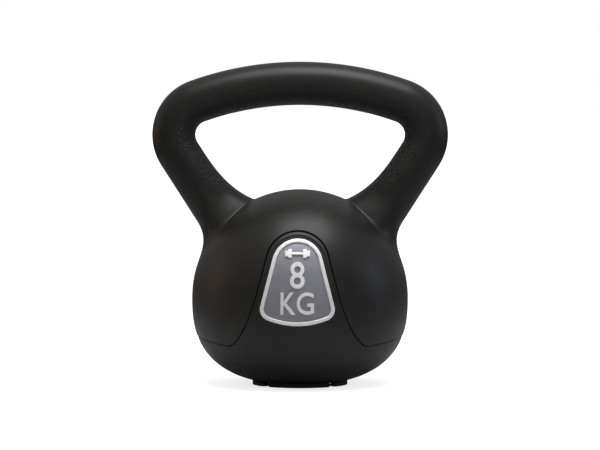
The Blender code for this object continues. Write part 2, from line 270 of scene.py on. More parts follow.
# ---- the handle ----------------------------------------------------------------------------
OUTWARD = np.array((math.cos(LEG_LEAN), -math.sin(LEG_LEAN)))     # of the right leg, in XZ
DOWNWARD = np.array((-math.sin(LEG_LEAN), -math.cos(LEG_LEAN)))


def handle_line():
    """The right half's centreline, with its normal towards the window, web and depth, closely spaced."""
    bar_top = BAR_TOP - GRIP_RADIUS
    bar_centre = np.array((0.0, bar_top - BAR_ARC_RADIUS))
    reach = BAR_ARC_RADIUS - CORNER_RADIUS
    corner = np.array((CORNER_X, bar_centre[1] + math.sqrt(reach**2 - CORNER_X**2)))
    bend = math.atan2(corner[1] - bar_centre[1], corner[0] - bar_centre[0])
    bar = arc(bar_centre, BAR_ARC_RADIUS, math.radians(90), bend, 60)
    turn = arc(corner, CORNER_RADIUS, bend, -LEG_LEAN, 60)[1:]
    along = np.linspace(0.0, LEG_LENGTH, 121)[1:]
    leg = corner + OUTWARD * CORNER_RADIUS + DOWNWARD * along[:, None]
    line = np.vstack((bar, turn, leg))
    webs = np.zeros(len(line))
    webs[-len(leg):] = LEG_WEB * (along / LEG_FLARE_AT) ** LEG_WEB_POWER
    inward = np.vstack((bar_centre - bar, corner - turn, -OUTWARD + 0 * leg))
    inward /= np.linalg.norm(inward, axis=1, keepdims=True)
    depths = np.full(len(line), GRIP_RADIUS)
    depths[-len(leg):] += LEG_DEPTH_FLARE * smoothstep(*LEG_DEPTH_FLARE_SPAN, along)
    steps = np.concatenate((np.linalg.norm(np.diff(np.vstack((bar, turn)), axis=0), axis=1),
                            np.full(len(leg), along[0])))
    return line, inward, webs, depths, np.concatenate(([0.0], np.cumsum(steps))), len(bar) + len(turn) - 1


LINE, INWARD, WEBS, DEPTHS, ALONG, LEG_START = handle_line()
LEG_EDGE = LINE[LEG_START] + OUTWARD * GRIP_RADIUS


def handle_at(stations):
    """The handle's centre, its normal towards the window, web and depth at distances along its line."""
    centre = np.stack([np.interp(stations, ALONG, row) for row in LINE.T], -1)
    inward = np.stack([np.interp(stations, ALONG, row) for row in INWARD.T], -1)
    return centre, inward, np.interp(stations, ALONG, WEBS), np.interp(stations, ALONG, DEPTHS)


def section_points(stations, angles):
    """Points of the handle's surface at distances along its line; angle 0 faces the window."""
    centre, inward, web, depth = handle_at(stations)
    across = GRIP_RADIUS * np.cos(angles) + web * np.maximum(np.cos(angles), 0.0) ** LEG_WEB_SHARPNESS
    flat = centre + inward * across[..., None]
    return np.stack((flat[..., 0], -depth * np.sin(angles), flat[..., 1]), -1)


def on_handle(points):
    """For each point: the handle's web and depth there, and how far it lies towards the window."""
    flat = np.stack((np.abs(points[:, 0]), points[:, 2]), 1)
    nearest = np.zeros(len(points), int)
    for start in range(0, len(points), 4000):
        gap = flat[start:start + 4000, None, :] - LINE[None, :LEG_START + 1, :]
        nearest[start:start + 4000] = np.argmin((gap**2).sum(2), axis=1)
    down = (flat - LEG_EDGE) @ DOWNWARD
    in_leg = (down > 0) & (flat[:, 1] < LEG_EDGE[1] + GRIP_RADIUS)
    station = np.where(in_leg, ALONG[LEG_START] + down, ALONG[nearest])
    centre, inward, web, depth = handle_at(station)
    return web, depth, ((flat - centre) * inward).sum(1)


def handle_distance(points):
    web, depth, across = on_handle(points)
    share = across / GRIP_RADIUS
    for _ in range(8):
        inner = np.maximum(share, 0.0)
        slope = GRIP_RADIUS + web * LEG_WEB_SHARPNESS * inner ** (LEG_WEB_SHARPNESS - 1)
        share = share - (GRIP_RADIUS * share + web * inner**LEG_WEB_SHARPNESS - across) / slope
    deep = points[:, 1] / depth
    size = np.maximum(np.hypot(share, deep), 1e-6)
    return (size - 1) * size / np.maximum(np.hypot(share / slope, deep / depth), 1e-6)


def ball_distance(points):
    return np.linalg.norm(points - BALL_CENTRE, axis=1) - BALL_RADIUS


def body_distance(points):
    """Distance to ball and handle joined by a fillet, tight by the window and wide at the waist."""
    ball = ball_distance(points)
    handle = handle_distance(points)
    outer = smoothstep(*BLEND_SPAN_X, np.abs(points[:, 0]))
    blend = CREASE_BLEND + (WAIST_BLEND - CREASE_BLEND) * outer**1.5
    overlap = np.maximum(blend - np.abs(ball - handle), 0.0) / blend
    return np.minimum(ball, handle) - overlap**2 * blend / 4


def body_slope(points):
    return np.stack([
        (body_distance(points + PROBE * axis) - body_distance(points - PROBE * axis)) / (2 * PROBE)
        for axis in np.eye(3)
    ], 1)


def settle(points):
    """Moves points near the joint of leg and ball onto the filleted surface."""
    near = (np.abs(points[:, 0]) > JOINT_FROM_X) & (np.abs(points[:, 1]) < JOINT_REACH_Y)
    near &= (points[:, 2] > JOINT_SPAN_Z[0]) & (points[:, 2] < JOINT_SPAN_Z[1])
    moving = points[near]
    for _ in range(5):
        slope = body_slope(moving)
        moving = moving - slope * (body_distance(moving) / np.maximum((slope**2).sum(1), 0.2))[:, None]
    points[near] = moving
    return points


def drawn_in(points, depth):
    """Moves points that are less than a depth under ball and handle down to that depth."""
    for _ in range(6):
        slope = body_slope(points)
        excess = np.maximum(body_distance(points) + depth, 0.0)
        points = points - slope * (excess / np.maximum((slope**2).sum(1), 0.2))[:, None]
    return points


# ---- mesh helpers --------------------------------------------------------------------------
@contextmanager
def editing(data):
    """Opens a mesh for editing and writes it back at the end."""
    bm = bmesh.new()
    bm.from_mesh(data)
    yield bm
    bm.to_mesh(data)
    bm.free()


def level_circle(sides):
    """Points of a level circle of radius 1 round the upright axis."""
    angles = np.linspace(0.0, 2 * math.pi, sides + 1)[:-1]
    return np.stack((np.cos(angles), np.sin(angles), 0 * angles), 1)


def searchable(points):
    tree = KDTree(len(points))
    for index, point in enumerate(points):
        tree.insert(point, index)
    tree.balance()
    return tree


class Shape:
    """Points and faces gathered from strips and patches, welded at the end."""

    def __init__(self):
        self.points = []
        self.faces = []

    def add(self, points, faces):
        base = len(self.points)
        self.points.extend(map(tuple, points))
        self.faces.extend([tuple(base + i for i in face) for face in faces])

    def add_strips(self, loops):
        """Quads between neighbouring loops, which all have the same number of points."""
        count = len(loops[0])
        faces = []
        for row in range(len(loops) - 1):
            for i in range(count):
                j = (i + 1) % count
                faces.append((row * count + i, row * count + j, (row + 1) * count + j,
                              (row + 1) * count + i))
        self.add(np.vstack(loops), faces)

    def mirrored_too(self):
        count = len(self.points)
        self.points += [(-x, y, z) for x, y, z in self.points[:count]]
        self.faces += [tuple(count + i for i in reversed(face)) for face in list(self.faces)]

    def mesh(self, name):
        data = bpy.data.meshes.new(name)
        data.from_pydata(self.points, [], self.faces)
        with editing(data) as bm:
            bmesh.ops.remove_doubles(bm, verts=bm.verts, dist=WELD)
            bmesh.ops.recalc_face_normals(bm, faces=bm.faces)
        return data


def mesh_points(data):
    flat = np.empty(len(data.vertices) * 3, np.float32)
    data.vertices.foreach_get("co", flat)
    return flat.reshape(-1, 3).astype(float)


def set_mesh_points(data, points):
    data.vertices.foreach_set("co", points.astype(np.float32).ravel())
    data.update()


def inside_polygon(points, polygon):
    x, y = points[:, 0], points[:, 1]
    result = np.zeros(len(points), bool)
    following = np.roll(polygon, -1, 0)
    for (x0, y0), (x1, y1) in zip(polygon, following):
        crosses = (y0 > y) != (y1 > y)
        if y0 != y1:
            result ^= crosses & (x < (x1 - x0) * (y - y0) / (y1 - y0) + x0)
    return result


def far_from(points, others, distance):
    keep = np.ones(len(points), bool)
    for start in range(0, len(points), 2000):
        gap = points[start:start + 2000, None, :] - others[None, :, :]
        keep[start:start + 2000] = (gap**2).sum(2).min(1) > distance**2
    return keep


def ball_map(points, pole):
    """Flattens the ball from its top (pole 1) or bottom (pole -1); distance from the pole is true."""
    direction = points - BALL_CENTRE
    direction = direction / np.linalg.norm(direction, axis=1, keepdims=True)
    polar = np.arccos(np.clip(direction[:, 2] * pole, -1, 1))
    around = np.arctan2(direction[:, 1], direction[:, 0])
    return np.stack((polar * np.cos(around), polar * np.sin(around)), 1)


def ball_unmap(flat, pole):
    polar = np.hypot(flat[:, 0], flat[:, 1])
    around = np.arctan2(flat[:, 1], flat[:, 0])
    direction = np.stack((np.sin(polar) * np.cos(around), np.sin(polar) * np.sin(around),
                          np.cos(polar) * pole), 1)
    return ball_point(direction)


def regions(faces, fences):
    """Groups of triangles that join each other without crossing a fence edge."""
    fences = {frozenset(edge) for edge in fences}
    beside = {}
    for index, face in enumerate(faces):
        for a, b in zip(face, face[1:] + face[:1]):
            if frozenset((a, b)) not in fences:
                beside.setdefault(frozenset((a, b)), []).append(index)
    neighbours = [[] for _ in faces]
    for pair in beside.values():
        if len(pair) == 2:
            neighbours[pair[0]].append(pair[1])
            neighbours[pair[1]].append(pair[0])
    waiting = set(range(len(faces)))
    found = []
    while waiting:
        group = [waiting.pop()]
        for index in group:
            fresh = [i for i in neighbours[index] if i in waiting]
            waiting.difference_update(fresh)
            group += fresh
        found.append(group)
    return found


def fill(loops, step):
    """Even triangles between a closed outline and its holes: the added points, and the faces."""
    outer, holes = loops[0], loops[1:]
    low = outer.min(0) - step
    high = outer.max(0) + step
    grid = []
    for index, row in enumerate(np.arange(low[1], high[1], step * math.sqrt(3) / 2)):
        columns = np.arange(low[0], high[0], step) + (step / 2 if index % 2 else 0.0)
        grid.append(np.stack((columns, np.full(len(columns), row)), 1))
    grid = np.vstack(grid)
    inside = inside_polygon(grid, outer)
    for hole in holes:
        inside &= ~inside_polygon(grid, hole)
    grid = grid[inside]
    grid = grid[far_from(grid, np.vstack(loops), step * 0.62)]
    flat = np.vstack(loops + [grid])
    edges = []
    base = 0
    for loop in loops:
        count = len(loop)
        edges += [(base + i, base + (i + 1) % count) for i in range(count)]
        base += count
    result = delaunay_2d_cdt([Vector(p) for p in flat], edges, [], 1, 1e-7)
    sources = [origin[0] for origin in result[3]]
    faces = [tuple(sources[i] for i in face) for face in result[2]]
    kept = []
    for region in regions(faces, edges):
        corners = flat[np.array([faces[i] for i in region])]
        (x1, y1), (x2, y2) = (corners[:, 1] - corners[:, 0]).T, (corners[:, 2] - corners[:, 0]).T
        widest = corners[np.argmax(np.abs(x1 * y2 - x2 * y1))].mean(0)[None]
        if not any(inside_polygon(widest, hole)[0] for hole in holes):
            kept += [faces[i] for i in region]
    return grid, kept


def ball_patch(loops, pole):
    """Fills the ball's surface between closed loops."""
    grid, faces = fill([ball_map(loop, pole) for loop in loops], SPACING / BALL_RADIUS)
    return np.vstack(loops + [ball_unmap(grid, pole)]), faces


def badge_patch(outline, step):
    """Fills an XZ outline on the ball's marked side, at the ball's surface."""
    grid, faces = fill([outline], step)
    return on_front(np.vstack((outline, grid))), faces


def along_surface(loop, shift, depth=0.0):
    """A closed loop on the ball moved sideways along the surface and down into it."""
    normal = ball_normal(loop)
    tangent = np.roll(loop, -1, 0) - np.roll(loop, 1, 0)
    tangent /= np.linalg.norm(tangent, axis=1, keepdims=True)
    sideways = np.cross(normal, tangent)
    return loop + sideways * shift - normal * depth


def lip(loop, towards):
    """Loops from the outer surface over a rounded lip and down the casing's cut edge."""
    base = towards * SEAM_GAP / 2
    rows = [along_surface(loop, base + towards * LIP_RADIUS * 1.35)]
    for degrees in (0, 22, 45, 68, 90):
        turn = math.radians(degrees)
        shift = base + towards * LIP_RADIUS * (1 - math.sin(turn))
        rows.append(along_surface(loop, shift, LIP_RADIUS * (1 - math.cos(turn))))
    rows.append(along_surface(loop, base, WALL))
    return rows


def new_object(name, data):
    obj = bpy.data.objects.new(name, data)
    bpy.context.scene.collection.objects.link(obj)
    return obj


def apply_modifiers(obj):
    graph = bpy.context.evaluated_depsgraph_get()
    data = bpy.data.meshes.new_from_object(obj.evaluated_get(graph))
    obj.modifiers.clear()
    obj.data = data


# ---- seam and badge outlines -----------------------------------------------------------------
def seam_height(x):
    return SEAM_MIDDLE_Z + (SEAM_SIDE_Z - SEAM_MIDDLE_Z) * (x / BALL_RADIUS) ** 2


def seam_loop():
    """The casing's seam: round the front tongue's arch, down to the side seam and round the back."""
    top = arc((0.0, ARCH_TOP_Z - ARCH_RADIUS), ARCH_RADIUS, math.radians(90), TONGUE_FLARE, 24)
    foot = np.array((TONGUE_FOOT_X, seam_height(TONGUE_FOOT_X)))
    sweep = np.array(TONGUE_FOOT_SWEEP)
    down = np.array((math.sin(TONGUE_FLARE), -math.cos(TONGUE_FLARE)))
    side = bezier(top[-1], top[-1] + TONGUE_PULLS[0] * down, foot - TONGUE_PULLS[1] * sweep, foot, 40)[1:]
    front = on_front(np.vstack((top, side)))
    start = math.atan2(front[-1, 1], front[-1, 0])
    around = np.linspace(start, math.radians(90), 90)[1:]
    x = BALL_RADIUS * np.cos(around)
    for _ in range(20):
        x = ball_level(seam_height(x)) * np.cos(around)
    z = seam_height(x)
    back = np.stack((x, ball_level(z) * np.sin(around), z), 1)
    half = np.vstack((front, back))
    left = half[::-1][1:-1] * (-1, 1, 1)
    loop = resampled(np.vstack((half, left)), SEAM_SPACING)
    loop = smoothed(loop, TONGUE_CORNER)
    return ball_point(loop - BALL_CENTRE)


def badge_outline(inset):
    """The bell shape as an XZ outline, from the same centres at any inset."""
    top_centre = np.array((0.0, RIM_HIGH.z - BADGE_TOP_RADIUS))
    base_centre = np.array((0.0, RIM_LOW.z + BADGE_BASE_RADIUS))
    lean = BADGE_SIDE_LEAN
    down = np.array((math.sin(lean), -math.cos(lean)))
    outward = np.array((math.cos(lean), math.sin(lean)))
    slide = top_centre + outward * (BADGE_TOP_RADIUS - BADGE_CORNER_RADIUS)
    gap = slide - base_centre
    reach = BADGE_BASE_RADIUS - BADGE_CORNER_RADIUS
    half_b = gap @ down
    corner = slide + down * (-half_b + math.sqrt(half_b**2 - (gap @ gap - reach**2)))
    turn_end = math.atan2(corner[1] - base_centre[1], corner[0] - base_centre[0])
    top = arc(top_centre, BADGE_TOP_RADIUS - inset, math.radians(90), lean, 28)
    bottom = arc(corner, BADGE_CORNER_RADIUS - inset, lean, turn_end, 14)
    side = top[-1] + (bottom[0] - top[-1]) * np.linspace(0, 1, 27)[1:-1, None]
    base = arc(base_centre, BADGE_BASE_RADIUS - inset, turn_end, math.radians(-90), 16)[1:]
    return with_mirror(np.vstack((top, side, bottom, base)))


SEAM = seam_loop()


# ---- casing --------------------------------------------------------------------------------
def crease():
    """Where the right leg meets the ball: distances along the line, and angles round it."""
    angles = np.linspace(0.0, 2 * math.pi, SIDES + 1)[:-1]
    stations = np.linspace(ALONG[LEG_START], ALONG[-1], 400)
    grid = section_points(stations[:, None] + 0 * angles, angles + 0 * stations[:, None])
    outside = np.linalg.norm(grid - BALL_CENTRE, axis=-1) - BALL_RADIUS
    ends = []
    for column in range(SIDES):
        values = outside[:, column]
        hit = int(np.argmax(values < 0))
        share = values[hit - 1] / (values[hit - 1] - values[hit])
        ends.append(stations[hit - 1] + share * (stations[hit] - stations[hit - 1]))
    return np.array(ends), angles


def fine_to_coarse(total, first, growth, last):
    """Distances from 0 to total whose steps grow from first to last."""
    stops = [0.0]
    step = first
    while stops[-1] + step < total:
        stops.append(stops[-1] + step)
        step = min(step * growth, last)
    return np.array(stops + [total])


def closed_shell(name, skin, rows, lining=None):
    """Closes a skin: rounded lip rows at its edge, then a lining at the wall's depth."""
    points = mesh_points(skin)
    faces = [tuple(face.vertices) for face in skin.polygons]
    if lining is None:
        normals = np.array([v.normal for v in skin.vertices])
        if (normals * (points - BALL_CENTRE)).sum() < 0:
            normals = -normals
        lining = (points - normals * WALL, faces)
        tree = searchable(points)
        rim = lining[0][[tree.find(point)[1] for point in rows[0]]]
    else:
        rim = lining[0][:len(rows[0])]
    shape = Shape()
    shape.add(points, faces)
    shape.add(lining[0], [face[::-1] for face in lining[1]])
    shape.add_strips(rows + [rim])
    return shape.mesh(name)


def grip_amount(points):
    """How much of the grip's grain a point of the handle carries: all of it facing the window."""
    _, _, across = on_handle(points)
    amount = smoothstep(GRIP_FACING[0], GRIP_FACING[1], across / GRIP_RADIUS)
    return amount * smoothstep(GRIP_FADE_Z[0], GRIP_FADE_Z[1], points[:, 2])


def make_upper_casing():
    ends, angles = crease()
    shape = Shape()
    start = ALONG[LEG_START]
    loops = [section_points(np.full(SIDES, s), angles) for s in np.linspace(0.0, start, BAR_RINGS)]
    for share in fine_to_coarse(1.0, 0.005, 1.22, 0.03)[::-1][1:]:
        loops.append(section_points(ends - (ends - start) * share, angles))
    foot = ball_point(loops[-1] - BALL_CENTRE)
    shape.add_strips(loops[:-1] + [foot])
    flat = ball_map(foot, 1)
    outward = flat - flat.mean(0)
    outward /= np.linalg.norm(outward, axis=1, keepdims=True)
    rings = [foot]
    for distance in fine_to_coarse(FOOT_RINGS_REACH, 0.35 * MM, 1.22, 2.0 * MM)[1:]:
        rings.append(ball_unmap(flat + outward * distance / BALL_RADIUS, 1))
    shape.add_strips(rings)
    shape.mirrored_too()
    rows = lip(SEAM, 1.0)
    shape.add(*ball_patch([rows[0], rings[-1], rings[-1] * (-1, 1, 1)], 1))
    skin = shape.mesh("upper_skin")
    set_mesh_points(skin, settle(mesh_points(skin)))
    data = closed_shell("upper_casing", skin, rows)
    amount = data.attributes.new("grip", "FLOAT", "POINT")
    amount.data.foreach_set("value", grip_amount(mesh_points(data)).astype(np.float32))
    return new_object("upper_casing", data)


def make_cement_fill():
    """The cement core, drawn in wherever it comes closer to the casing's face than the wall allows."""
    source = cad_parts["cement_core"]
    data = source.data.copy()
    data.name = "cement_fill"
    data.materials.clear()
    data.transform(source.matrix_world)
    with editing(data) as bm:
        bmesh.ops.remove_doubles(bm, verts=bm.verts, dist=WELD)
        long_edges = [edge for edge in bm.edges if edge.calc_length() > FILL_LONGEST_EDGE]
        bmesh.ops.subdivide_edges(bm, edges=long_edges, cuts=1)
        bmesh.ops.triangulate(bm, faces=bm.faces)
        bmesh.ops.recalc_face_normals(bm, faces=bm.faces)
    points = mesh_points(data)
    high = points[:, 2] > FILL_ABOVE_Z
    points[high] = drawn_in(points[high], WALL + FILL_CLEARANCE)
    set_mesh_points(data, points)
    return new_object("cement_fill", data)


def tongue_sink(points):
    """How far the lower casing's face lies under the ball: at the seam, and more in the arch."""
    tree = searchable(SEAM)
    away = np.array([tree.find(point)[2] for point in points])
    edge = SEAM_DROP * (1 - smoothstep(0.0, SEAM_DROP_WIDTH, away))
    arch = BAND_DROP * smoothstep(BAND_FADE_Z[0], BAND_FADE_Z[1], points[:, 2])
    return np.maximum(edge, arch)


def badge_surround():
    """Closed rows from the tongue's free face down two steps into the badge's pocket."""
    inner = badge_outline(0.0)
    share = smoothstep(BAND_FADE_Z[0], BAND_FADE_Z[1], inner[:, 1])
    narrow = BAND_NARROWEST + (1 - BAND_NARROWEST) * share
    rows = []
    for distance, step, depth in SURROUND:
        moved = inner + (badge_outline(-distance) - inner) * narrow[:, None]
        row = on_front(moved)
        rows.append(sunk(row, tongue_sink(row) * (depth < POCKET_DEPTH) + step * share + depth))
    return rows


def make_lower_casing():
    shape = Shape()
    rows = lip(SEAM, -1.0)
    surround = badge_surround()
    shape.add_strips(surround)
    floor, faces = badge_patch(badge_outline(-SURROUND[-1][0] * BAND_NARROWEST), FLOOR_SPACING)
    floor = sunk(floor, POCKET_DEPTH)
    floor[:len(surround[-1])] = surround[-1]
    shape.add(floor, faces)
    hole = []
    around = level_circle(PLUG_SIDES)
    for shift, depth in ((1.6, 0), (0.5, 0), (0.25, 0.07), (0.07, 0.25), (0, 0.5), (0, WALL / MM)):
        ring = around * (PLUG_HIGH.x + (0.15 + shift) * MM)
        ring[:, 2] = BALL_CENTRE[2] - BOWL_DEPTH + depth * MM
        hole.append(ring)
    shape.add_strips(hole)
    points, faces = ball_patch([rows[0], surround[0], hole[0]], -1)
    loose = np.arange(len(points)) >= len(rows[0]) + len(surround[0]) + len(hole[0])
    points[loose] = sunk(points[loose], tongue_sink(points[loose]))
    rows = [sunk(row, tongue_sink(row)) for row in rows[:-1]] + rows[-1:]
    points[:len(rows[0])] = rows[0]
    shape.add(points, faces)
    lining, lining_faces = ball_patch([rows[0], hole[0]], -1)
    count = len(rows[0])
    lining = sunk(lining, WALL)
    lining[count:count + PLUG_SIDES] = hole[-1]
    skin = shape.mesh("lower_skin")
    return new_object("lower_casing", closed_shell("lower_casing", skin, rows, (lining, lining_faces)))


# ---- badge ---------------------------------------------------------------------------------
def ring_piece(name, section):
    """A closed ring along the badge's outline from (inset, depth) pairs of its section."""
    shape = Shape()
    rows = [sunk(on_front(badge_outline(inset)), depth) for inset, depth in section]
    shape.add_strips(rows + rows[:1])
    return new_object(name, shape.mesh(name))


def rounded_section(width, top, bottom, radius, crown):
    """A closed section with rounded top corners and a slightly crowned face."""
    section = [(0.0, bottom), (0.0, top + radius)]
    for degrees in (22.5, 45, 67.5, 90):
        turn = math.radians(degrees)
        section.append((radius * (1 - math.cos(turn)), top + radius * (1 - math.sin(turn))))
    for share in (0.25, 0.5, 0.75):
        rise = crown * (1 - (2 * share - 1) ** 2)
        section.append((radius + (width - 2 * radius) * share, top - rise))
    for degrees in (90, 67.5, 45, 22.5, 0):
        turn = math.radians(degrees)
        section.append((width - radius * (1 - math.cos(turn)), top + radius * (1 - math.sin(turn))))
    section.append((width, bottom))
    return section


def make_plate():
    shape = Shape()
    inset = PLATE_INSET
    top, bottom = PLATE_DEPTHS
    rows = []
    for shift, depth in ((0.3, 0.0), (0.1, 0.08), (0.0, 0.3)):
        rows.append(sunk(on_front(badge_outline(inset + shift * MM)), top + depth * MM))
    rows.append(sunk(on_front(badge_outline(inset)), bottom))
    shape.add_strips(rows)
    for edge, depth in ((inset + 0.3 * MM, top), (inset, bottom)):
        points, faces = badge_patch(badge_outline(edge), PLATE_SPACING)
        shape.add(sunk(points, depth), faces)
    return new_object("weight_plate", shape.mesh("weight_plate"))


def onto_badge(name, source, box=None):
    """Turns a raised curve or character into a mesh, fits it to its box and lays it on the badge."""
    graph = bpy.context.evaluated_depsgraph_get()
    data = bpy.data.meshes.new_from_object(source.evaluated_get(graph))
    data.name = name
    bpy.data.objects.remove(source)
    points = mesh_points(data)
    low, high = points.min(0), points.max(0)
    if box:
        left, right, base, height = box
        points[:, 0] = left + (points[:, 0] - low[0]) / (high[0] - low[0]) * (right - left)
        points[:, 1] = base + (points[:, 1] - low[1]) / (high[1] - low[1]) * height
    set_mesh_points(data, points)
    with editing(data) as bm:
        bmesh.ops.remove_doubles(bm, verts=bm.verts, dist=WELD / 2)
        for axis, span in ((0, points[:, 0]), (1, points[:, 1])):
            normal = Vector((1 - axis, axis, 0))
            for stop in np.arange(span.min() + MARK_SPACING, span.max(), MARK_SPACING):
                everything = list(bm.verts) + list(bm.edges) + list(bm.faces)
                bmesh.ops.bisect_plane(bm, geom=everything, plane_co=normal * stop, plane_no=normal)
        bmesh.ops.recalc_face_normals(bm, faces=bm.faces)
    points = mesh_points(data)
    top, bottom = MARK_DEPTHS
    share = (points[:, 2] - low[2]) / (high[2] - low[2])
    surface = on_front(points[:, :2])
    set_mesh_points(data, sunk(surface, bottom + (top - bottom) * share))
    return new_object(name, data)


def raised(curve, name):
    curve.extrude = (MARK_DEPTHS[1] - MARK_DEPTHS[0]) / 2 - MARK_ROUNDING
    curve.bevel_depth = MARK_ROUNDING
    curve.bevel_resolution = 2
    return new_object(name + "_source", curve)


def make_character(name, text, box):
    curve = bpy.data.curves.new(name, "FONT")
    curve.body = text
    curve.size = box[3] / CHARACTER_HEIGHT_SHARE
    curve.offset = STROKE_TRIM
    curve.resolution_u = 8
    return onto_badge(name, raised(curve, name), box)


def make_dumbbell_mark():
    """A plain dumbbell pictogram: two sizes of plate at each end of a bar."""
    upper = []
    inner = None
    for reach, half_height in EMBLEM_STEPS:
        if inner is not None:
            upper.append((inner, half_height))
        upper.append((reach, half_height))
        inner = reach
    right = upper + [(x, -z) for x, z in reversed(upper)]
    outline = right + [(-x, -z) for x, z in right]
    curve = bpy.data.curves.new("dumbbell", "CURVE")
    curve.dimensions = "2D"
    curve.fill_mode = "BOTH"
    spline = curve.splines.new("POLY")
    spline.points.add(len(outline) - 1)
    for point, (x, z) in zip(spline.points, outline):
        point.co = (x, EMBLEM_Z + z, 0.0, 1.0)
    spline.use_cyclic_u = True
    return onto_badge("dumbbell_mark", raised(curve, "dumbbell"))


# ---- feet and plug -------------------------------------------------------------------------
def node(tree, kind, inputs=None, **settings):
    """Adds a node, sets its properties, and links or sets its inputs by name or number."""
    made = tree.nodes.new(kind)
    for key, value in settings.items():
        setattr(made, key, value)
    for key, value in (inputs or {}).items():
        if isinstance(value, bpy.types.NodeSocket):
            tree.links.new(value, made.inputs[key])
        else:
            made.inputs[key].default_value = value
    return made


def maths(tree, operation, a, b=0.0, c=0.0):
    return node(tree, "ShaderNodeMath", {0: a, 1: b, 2: c}, operation=operation).outputs[0]


def rubber_foot_tree():
    """A curved pad on the foot ring: rounded in plan, flat below and shaped to the bowl above."""
    tree = bpy.data.node_groups.new("rubber foot", "GeometryNodeTree")
    tree.interface.new_socket("Geometry", in_out="OUTPUT", socket_type="NodeSocketGeometry")
    sizes = ("Heading", "Half Angle", "Ring Radius", "Width", "Corner Radius", "Bowl Radius",
             "Bowl Depth", "Bowl Squareness", "Bowl Bottom")
    for name in sizes:
        tree.interface.new_socket(name, in_out="INPUT", socket_type="NodeSocketFloat")
    tree.interface.new_socket("Material", in_out="INPUT", socket_type="NodeSocketMaterial")
    given = node(tree, "NodeGroupInput").outputs

    def reckon(operation, *values):
        return maths(tree, operation, *values)

    grid = node(tree, "GeometryNodeMeshGrid",
                {"Size X": 2.0, "Size Y": 2.0, "Vertices X": 41, "Vertices Y": 7}).outputs["Mesh"]
    place = node(tree, "GeometryNodeInputPosition").outputs[0]
    across = node(tree, "ShaderNodeSeparateXYZ", {0: place}).outputs
    lengthwise = reckon("SINE", reckon("MULTIPLY", across["X"], math.pi / 2))
    half_length = reckon("MULTIPLY", given["Half Angle"], given["Ring Radius"])
    to_end = reckon("MULTIPLY", reckon("SUBTRACT", 1.0, reckon("ABSOLUTE", lengthwise)), half_length)
    in_corner = reckon("MINIMUM", reckon("DIVIDE", to_end, given["Corner Radius"]), 1.0)
    past = reckon("SUBTRACT", 1.0, in_corner)
    chord = reckon("SQRT", reckon("SUBTRACT", 1.0, reckon("MULTIPLY", past, past)))
    round_off = reckon("SUBTRACT", 1.0, chord)
    half_width = reckon("SUBTRACT", reckon("DIVIDE", given["Width"], 2.0),
                       reckon("MULTIPLY", round_off, given["Corner Radius"]))
    radius = reckon("MULTIPLY_ADD", across["Y"], half_width, given["Ring Radius"])
    angle = reckon("MULTIPLY_ADD", lengthwise, given["Half Angle"], given["Heading"])
    spot = node(tree, "ShaderNodeCombineXYZ", {
        "X": reckon("MULTIPLY", radius, reckon("COSINE", angle)),
        "Y": reckon("MULTIPLY", radius, reckon("SINE", angle)),
    }).outputs[0]
    laid = node(tree, "GeometryNodeSetPosition", {"Geometry": grid, "Position": spot}).outputs[0]
    flat = node(tree, "GeometryNodeFlipFaces", {"Mesh": laid}).outputs[0]
    level = reckon("DIVIDE", radius_at(tree), given["Bowl Radius"])
    share = reckon("POWER", level, given["Bowl Squareness"])
    rise = reckon("POWER", reckon("SUBTRACT", 1.0, share), reckon("DIVIDE", 1.0, given["Bowl Squareness"]))
    bowl = reckon("MULTIPLY_ADD", reckon("SUBTRACT", 1.0, rise), given["Bowl Depth"], given["Bowl Bottom"])
    walls = node(tree, "GeometryNodeExtrudeMesh",
                 {"Mesh": flat, "Offset Scale": 1.0, "Individual": False})
    lift = node(tree, "ShaderNodeCombineXYZ", {"Z": reckon("SUBTRACT", bowl, 1.0)}).outputs[0]
    height = node(tree, "ShaderNodeSeparateXYZ", {0: place}).outputs["Z"]
    upper = node(tree, "FunctionNodeCompare", {0: height, 1: 0.5}, operation="GREATER_THAN").outputs[0]
    shaped = node(tree, "GeometryNodeSetPosition",
                  {"Geometry": walls.outputs["Mesh"], "Selection": upper, "Offset": lift}).outputs[0]
    sole = node(tree, "GeometryNodeFlipFaces", {"Mesh": flat}).outputs[0]
    joined = node(tree, "GeometryNodeJoinGeometry")
    tree.links.new(shaped, joined.inputs[0])
    tree.links.new(sole, joined.inputs[0])
    merged = node(tree, "GeometryNodeMergeByDistance",
                  {"Geometry": joined.outputs[0], "Distance": 0.005 * MM}).outputs[0]
    real = node(tree, "GeometryNodeRealizeInstances", {0: merged}).outputs[0]
    finished = node(tree, "GeometryNodeSetMaterial", {"Geometry": real, "Material": given["Material"]})
    node(tree, "NodeGroupOutput", {0: finished.outputs[0]})
    return tree


def radius_at(tree):
    """The distance from the upright axis, in a node tree."""
    place = node(tree, "GeometryNodeInputPosition").outputs[0]
    level = {0: place, 1: (1.0, 1.0, 0.0)}
    flat = node(tree, "ShaderNodeVectorMath", level, operation="MULTIPLY").outputs[0]
    return node(tree, "ShaderNodeVectorMath", {0: flat}, operation="LENGTH").outputs["Value"]


